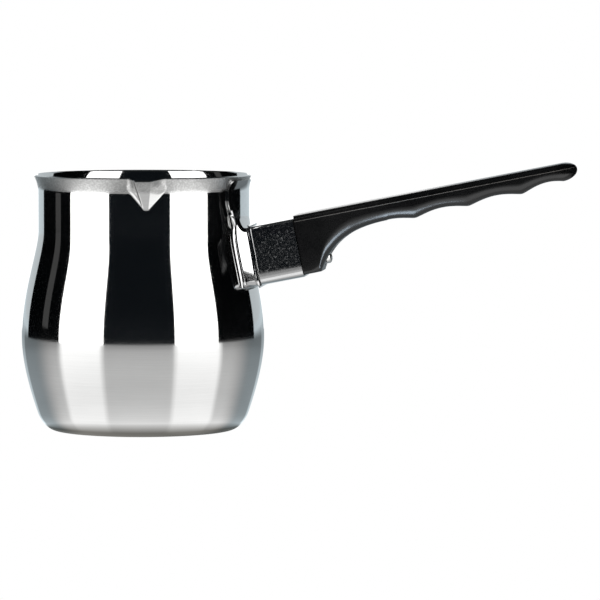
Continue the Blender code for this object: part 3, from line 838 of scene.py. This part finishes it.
def steel(name, dark, light, rough, lines_scale, lines_bump, stretch=EVEN, drawn=False, pitted=0.0):
    """Polished sheet with fine lines, faint smudges and small specks."""
    made = Surface(name)
    lines = made.noise(lines_scale, detail=4.0, rough=0.65, stretch=stretch)
    smudge = made.noise(38.0, detail=3.0, rough=0.55)
    specks = made.noise(900.0, rough=0.7)
    lines_part = made.math("MULTIPLY", lines, LINE_SHARE)
    smudge_part = made.math("MULTIPLY", smudge, 1.0 - LINE_SHARE)
    made.tint(made.span(made.math("ADD", lines_part, smudge_part), 0.35, 0.65, 0.0, 1.0), dark, light)
    uneven = made.math("ADD", made.vary(smudge, -0.015, 0.02), made.vary(lines, -0.01, 0.015))
    roughness = made.math("ADD", uneven, rough)
    fine = made.bump(lines, lines_bump, 0.00004)
    fine = made.bump(specks, lines_bump * 0.35, 0.00002, fine)
    if drawn:
        roughness, fine = drawn_skin(made, roughness, fine)
    if pitted:
        pits = made.noise(1200.0, detail=3.0, rough=0.7)
        roughness = made.math("ADD", roughness, made.span(pits, 0.52, 0.72, 0.0, pitted))
    made.link(roughness, made.shader.inputs["Roughness"])
    made.link(fine, made.shader.inputs["Normal"])
    made.shader.inputs["Metallic"].default_value = 1.0
    return made.material


def parting_line(made):
    """1 on the grip's parting line, where the painted highlight goes, and 0 off it."""
    coordinates = made.node("ShaderNodeTexCoord")
    across = made.node("ShaderNodeVectorMath", operation="DOT_PRODUCT")
    made.link(coordinates.outputs["Object"], across.inputs[0])
    across.inputs[1].default_value = (-sin(HANDLE_SLOPE), 0.0, cos(HANDLE_SLOPE))
    axis = HANDLE_Z * cos(HANDLE_SLOPE) - HANDLE_X * sin(HANDLE_SLOPE)
    line = (axis + GRIP_TOP - TOP_CORNER - FLASH) * MM
    off = made.math("ABSOLUTE", made.math("SUBTRACT", across.outputs["Value"], line))
    return made.span(off, HIGHLIGHT_LINE_HALF[0] * MM, HIGHLIGHT_LINE_HALF[1] * MM, 1.0, 0.0)


def phenolic():
    """Black moulded resin: semi-gloss, with a faint mould grain, soft swirls and a painted highlight along
    the parting line.
    """
    made = Surface("black_moulded_resin")
    swirl = made.noise(60.0, detail=4.0, rough=0.6)
    grain = made.noise(2600.0, detail=3.0, rough=0.6)
    peel = made.noise(420.0)
    # painted highlight along the parting line, broken up by the swirls, which also add a faint tone of their
    # own
    parting_highlight = made.math("MULTIPLY", parting_line(made), made.vary(swirl, 0.6, 1.0))
    swirl_tone_and_highlight = made.math("MAXIMUM", made.span(swirl, 0.35, 0.65, 0.0, 0.01), parting_highlight)
    made.tint(swirl_tone_and_highlight, RESIN_BLACK, RESIN_PAINTED_HIGHLIGHT)
    made.link(made.math("ADD", made.vary(swirl, 0.22, 0.28), made.vary(grain, -0.02, 0.03)),
              made.shader.inputs["Roughness"])
    fine = made.bump(grain, 0.5, 0.00004)
    made.link(made.bump(peel, 0.3, 0.00008, fine), made.shader.inputs["Normal"])
    made.shader.inputs["IOR"].default_value = 1.5
    return made.material


def plated(name, dark, light, rough):
    """Plain zinc-plated steel: clouded, slightly grainy."""
    made = Surface(name)
    cloud = made.noise(180.0, detail=5.0, rough=0.6)
    grain = made.noise(3200.0, rough=0.6)
    made.tint(made.span(cloud, 0.35, 0.65, 0.0, 1.0), dark, light)
    made.link(made.math("ADD", made.vary(cloud, rough - 0.05, rough + 0.08), made.vary(grain, -0.02, 0.03)),
              made.shader.inputs["Roughness"])
    made.link(made.bump(grain, 0.25, 0.00003), made.shader.inputs["Normal"])
    made.shader.inputs["Metallic"].default_value = 1.0
    return made.material


# ---------------------------------------------------------------- the studio

TO_CAMERA = 8.2  # degrees from -Y towards +X, seen from the pot's axis
CARD_RADIUS = 0.6  # metres, as are the studio's other sizes, apart from the table and the nose's card
SLIT_RADIUS = 0.59
CARD_STEP = 2.0
WHITE = (1.0, 1.0, 1.0)
COLD_BLACK = (0.65, 0.85, 1.1)
# Each card's first and last angle from the line to the camera, its foot and top, radius, colour and strength
CARDS = {
    "card_front": (-36.3, 29.3, 0.0, 0.9, CARD_RADIUS, COLD_BLACK, 0.008),
    "box_right": (29.3, 72.8, 0.0, 0.9, CARD_RADIUS, WHITE, 3.2),
    "box_left": (-83.6, -36.3, 0.0, 0.9, CARD_RADIUS, WHITE, 3.0),
    "card_right": (72.8, 127.0, 0.0, 0.9, CARD_RADIUS, COLD_BLACK, 0.001),
    "card_left": (-137.1, -83.6, 0.0, 0.9, CARD_RADIUS, COLD_BLACK, 0.001),
    "slit_left": (-108.0, -99.0, 0.05, 0.9, SLIT_RADIUS, WHITE, 0.07),
    "sheet_behind": (166.0, 194.0, 0.0, 0.6, CARD_RADIUS, WHITE, 1.5),
}
NOSE_CARD_ENDS = ((178.0, 32.0), (212.0, 8.0))  # a small dark card behind the grip's tip, seen from above
NOSE_CARD_HEIGHTS = (85.0, 130.0)
ARCH_LIGHT_PLACE = (0.116, -0.030, 0.048)
ARCH_LIGHT_AIM = (0.09, 0.0, 0.08)
ARCH_LIGHT_COLOUR = (0.72, 0.86, 1.0)
ARCH_LIGHT_ENERGY = 0.022
ARCH_LIGHT_SIZE = 0.025
FLOOR_RADIUS = 8.0
FLOOR_LEVEL = -0.0004
BACKDROP_RADIUS = 9.0
WORLD_COLOUR = (0.88, 0.96, 1.0)
WORLD_FADE = (0.45, 0.7)  # heights of the direction over which the world gets darker
WORLD_STRENGTH = (0.72, 0.04)

# The table, in millimetres and in degrees from the line to the camera
TABLE_START = 40.0  # under the pot's edge
TABLE_LEVEL = -0.5
TABLE_COLUMNS = 240
TABLE_REACH = (0.0, 8.0, 12.0, 18.0, 27.0, 42.0, 67.0, 127.0, 207.0, 337.0, 560.0, 1100.0, 3000.0)
DARK_SIDE = (0.25, 1.10, 1.0, 0.88, 0.78, 0.72, 0.72, 0.66, 0.60, 0.45, 0.40, 0.75, 0.75)
LIGHT_SIDE = (0.3, 1.35, 1.42, 1.36, 1.28, 1.28, 1.36, 1.5, 1.57, 1.7, 1.7, 1.7, 1.7)
TURN_LIMIT = 75.0  # up to here a column heads twice as far round as its foot, as a reflection does
LIT_RIGHT = (13.0, 37.0)  # where the light in front of each soft box starts and stops
LIT_LEFT = (17.5, 40.5)
LIT_SOFTNESS = 4.0
DIM_START = (44.0, 18.0)  # the dimmer stretch beside the dark cards: where each end is, and how soft
DIM_STOP = (78.0, 14.0)
DIM_SHARE = 0.5
DIM_REACH = 1000.0
COLD_START = (50.0, 15.0)
COLD_TINT = (-0.12, 0.0, 0.06)
WARM_TINT = (0.0, -0.03, -0.1)  # in the pot's own shade


def glow(name, colour, strength):
    made = bpy.data.materials.new(name)
    made.use_nodes = True
    tree = made.node_tree
    tree.nodes.clear()
    light = tree.nodes.new("ShaderNodeEmission")
    light.inputs["Color"].default_value = (*colour, 1.0)
    light.inputs["Strength"].default_value = strength
    out = tree.nodes.new("ShaderNodeOutputMaterial")
    tree.links.new(light.outputs[0], out.inputs["Surface"])
    return made


def staged(obj, camera=False):
    """Part of the studio, which shows to the camera alone, or lights the object without showing."""
    obj.visible_camera = camera
    obj.visible_glossy = not camera
    obj.visible_diffuse = not camera
    obj.visible_transmission = not camera
    obj.visible_shadow = False
    return obj


def card(name, start, stop, low, high, radius, colour, strength):
    """An upright curved card around the pot."""
    points = []
    steps = max(int((stop - start) / CARD_STEP), 2)
    for level in (low, high):
        for i in range(steps + 1):
            angle = radians(TO_CAMERA + start + (stop - start) * i / steps)
            points.append((radius * sin(angle) / MM, -radius * cos(angle) / MM, level / MM))
    faces = lattice_faces(2, steps + 1, False)
    return staged(mesh_object(name, points, faces, glow(name, colour, strength)))


def rise_and_fall(value, start, stop, soft_start, soft_stop):
    """1 between start and stop, and 0 outside them."""
    return smoothstep((value - start) / soft_start) * (1.0 - smoothstep((value - stop) / soft_stop))


def table_light(around, ring):
    """The table's light on a ring, where the pot's wall faces that angle from the camera."""
    side = abs(around)
    lit = rise_and_fall(side, *(LIT_RIGHT if around > 0 else LIT_LEFT), LIT_SOFTNESS, LIT_SOFTNESS)
    level = DARK_SIDE[ring] + (LIGHT_SIDE[ring] - DARK_SIDE[ring]) * lit
    if TABLE_REACH[ring] < DIM_REACH:
        level *= 1.0 - DIM_SHARE * rise_and_fall(side, DIM_START[0], DIM_STOP[0], DIM_START[1], DIM_STOP[1])
    cold = smoothstep((side - COLD_START[0]) / COLD_START[1])
    warm = 1.0 if ring == 0 else 0.0
    tints = [1.0 + cold * c + warm * w for c, w in zip(COLD_TINT, WARM_TINT)]
    return [level * tint for tint in tints] + [1.0]


def build_table():
    """The white table as the steel sees it: brighter in front of the soft boxes, dimmer by the cards."""
    spare = (180.0 - 2.0 * TURN_LIMIT) / (180.0 - TURN_LIMIT)
    points = []
    colours = []
    for ring, reach in enumerate(TABLE_REACH):
        for i in range(TABLE_COLUMNS):
            around = -180.0 + 360.0 * i / TABLE_COLUMNS
            side = abs(around)
            turn = 2.0 * min(side, TURN_LIMIT) + spare * max(side - TURN_LIMIT, 0.0)
            heading = radians(TO_CAMERA + (turn if around > 0 else -turn))
            foot = radians(TO_CAMERA + around)
            points.append((TABLE_START * sin(foot) + reach * sin(heading),
                           -TABLE_START * cos(foot) - reach * cos(heading), TABLE_LEVEL))
            colours.append(table_light(around, ring))
    faces = lattice_faces(len(TABLE_REACH), TABLE_COLUMNS, True)
    faces.append(list(range(TABLE_COLUMNS)))
    finish = glow("table_light", WHITE, 1.0)
    tree = finish.node_tree
    levels = tree.nodes.new("ShaderNodeAttribute")
    levels.attribute_name = "light"
    tree.links.new(levels.outputs["Color"], tree.nodes["Emission"].inputs["Color"])
    table = mesh_object("table", points, faces, finish)
    layer = table.data.color_attributes.new("light", "FLOAT_COLOR", "POINT")
    layer.data.foreach_set("color", np.array(colours, np.float32).ravel())
    return staged(table)


def linked(name, light, pieces, state):
    """Keeps a light to some pieces, or off them."""
    receivers = bpy.data.collections.new(name)
    for piece in pieces:
        receivers.objects.link(bpy.data.objects[piece])
    for member in receivers.collection_objects:
        member.light_linking.link_state = state
    light.light_linking.receiver_collection = receivers


def build_cards():
    cards = {name: card(name, *values) for name, values in CARDS.items()}
    points = [(x, y, z) for z in NOSE_CARD_HEIGHTS for x, y in NOSE_CARD_ENDS]
    staged(mesh_object("card_nose", points, [(0, 1, 3, 2)], glow("card_nose", COLD_BLACK, 0.001)))
    linked("unlit_by_box_right", cards["box_right"], ("sleeve_sheet", "grip_moulding"), "EXCLUDE")


def build_arch_light():
    """A small cold light under the grip, for the glow along its arch."""
    data = bpy.data.lights.new("arch_light", "AREA")
    data.energy = ARCH_LIGHT_ENERGY
    data.color = ARCH_LIGHT_COLOUR
    data.size = ARCH_LIGHT_SIZE
    lamp = bpy.data.objects.new("arch_light", data)
    lamp.location = ARCH_LIGHT_PLACE
    lamp.visible_camera = False
    aim = Vector(ARCH_LIGHT_AIM) - lamp.location
    lamp.rotation_euler = aim.to_track_quat("-Z", "Y").to_euler()
    bpy.context.scene.collection.objects.link(lamp)
    linked("lit_by_arch_light", lamp, ("grip_moulding",), "INCLUDE")


def build_surroundings():
    """The pale floor and backdrop, which only the camera sees."""
    seen = glow("floor_seen", WHITE, 1.0)
    columns = 96
    turns = [2 * pi * i / columns for i in range(columns)]
    points = [(FLOOR_RADIUS / MM * cos(a), FLOOR_RADIUS / MM * sin(a), FLOOR_LEVEL / MM) for a in turns]
    staged(mesh_object("floor", points, [list(range(columns))], seen), camera=True)
    bm = bmesh.new()
    bmesh.ops.create_uvsphere(bm, u_segments=48, v_segments=24, radius=BACKDROP_RADIUS)
    mesh = bpy.data.meshes.new("backdrop")
    bm.to_mesh(mesh)
    bm.free()
    mesh.materials.append(seen)
    backdrop = bpy.data.objects.new("backdrop", mesh)
    bpy.context.scene.collection.objects.link(backdrop)
    staged(backdrop, camera=True)


def build_world():
    """A soft light from all round, darker overhead."""
    world = bpy.data.worlds.new("studio")
    world.use_nodes = True
    tree = world.node_tree
    background = tree.nodes["Background"]
    background.inputs["Color"].default_value = (*WORLD_COLOUR, 1.0)
    heading = tree.nodes.new("ShaderNodeTexCoord")
    height = tree.nodes.new("ShaderNodeSeparateXYZ")
    dimming = tree.nodes.new("ShaderNodeMapRange")
    for socket, value in zip(("From Min", "From Max", "To Min", "To Max"), WORLD_FADE + WORLD_STRENGTH):
        dimming.inputs[socket].default_value = value
    tree.links.new(heading.outputs["Generated"], height.inputs["Vector"])
    tree.links.new(height.outputs["Z"], dimming.inputs["Value"])
    tree.links.new(dimming.outputs["Result"], background.inputs["Strength"])
    bpy.context.scene.world = world
    bpy.context.scene.view_settings.view_transform = "Standard"


# ---------------------------------------------------------------- the camera

CAMERA_PLACE = (0.2641, -1.8322, 0.178)
CAMERA_AWAY = radians(6.2)  # turned from +Y towards -X
CAMERA_DOWN = radians(3.86)
CAMERA_LENS = 270.0


def build_camera():
    data = bpy.data.cameras.new("camera")
    data.sensor_width = 36.0
    data.lens = CAMERA_LENS
    data.clip_start = 0.1
    data.clip_end = 30.0
    camera = bpy.data.objects.new("camera", data)
    bpy.context.scene.collection.objects.link(camera)
    camera.location = CAMERA_PLACE
    level = cos(CAMERA_DOWN)
    look = Vector((-sin(CAMERA_AWAY) * level, cos(CAMERA_AWAY) * level, -sin(CAMERA_DOWN)))
    camera.rotation_euler = look.to_track_quat("-Z", "Y").to_euler()
    bpy.context.scene.camera = camera


# ---------------------------------------------------------------- all together

drawn_steel = steel("drawn_steel", (0.615, 0.615, 0.61), (0.66, 0.66, 0.655), rough=0.055,
                    lines_scale=3200.0, lines_bump=0.06, stretch=SPIN_LINES, drawn=True)
stamped_steel = steel("stamped_steel", (0.60, 0.60, 0.60), (0.68, 0.68, 0.68), rough=0.07,
                      lines_scale=1800.0, lines_bump=0.03, stretch=SHEET_LINES)
sleeve_steel = steel("sleeve_sheet_steel", (0.52, 0.52, 0.52), (0.62, 0.62, 0.62), rough=0.08,
                     lines_scale=1800.0, lines_bump=0.05, pitted=0.19)
screw_steel = steel("screw_bright_steel", (0.6, 0.6, 0.59), (0.7, 0.7, 0.69), rough=0.16,
                    lines_scale=2400.0, lines_bump=0.05)
PIECES = (
    (build_pot(drawn_steel), "pot_body", "pot_steel"),
    (build_bracket(stamped_steel), "handle_bracket", "bracket_steel"),
    (build_sleeve(sleeve_steel), "ferrule", "sleeve_steel"),
    (build_grip(phenolic()), "handle_grip", "black_phenolic"),
    (build_screw(screw_steel), "handle_screw", "screw_steel"),
)
for piece, node, slot in PIECES:
    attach(piece, "root")
    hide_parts(node)

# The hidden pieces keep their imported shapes: darker colour, lighter colour and roughness of the plating
HIDDEN = {
    "lock_washer": ((0.30, 0.30, 0.31), (0.42, 0.42, 0.43), 0.36),
    "anchor_strap": ((0.34, 0.34, 0.33), (0.48, 0.48, 0.47), 0.42),
    "anchor_nut": ((0.40, 0.38, 0.32), (0.52, 0.50, 0.44), 0.38),
}
for node, values in HIDDEN.items():
    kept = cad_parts[node]
    kept.data.materials.clear()
    kept.data.materials.append(plated(node + "_plating", *values))

build_camera()
build_cards()
build_arch_light()
build_surroundings()
build_table()
build_world()
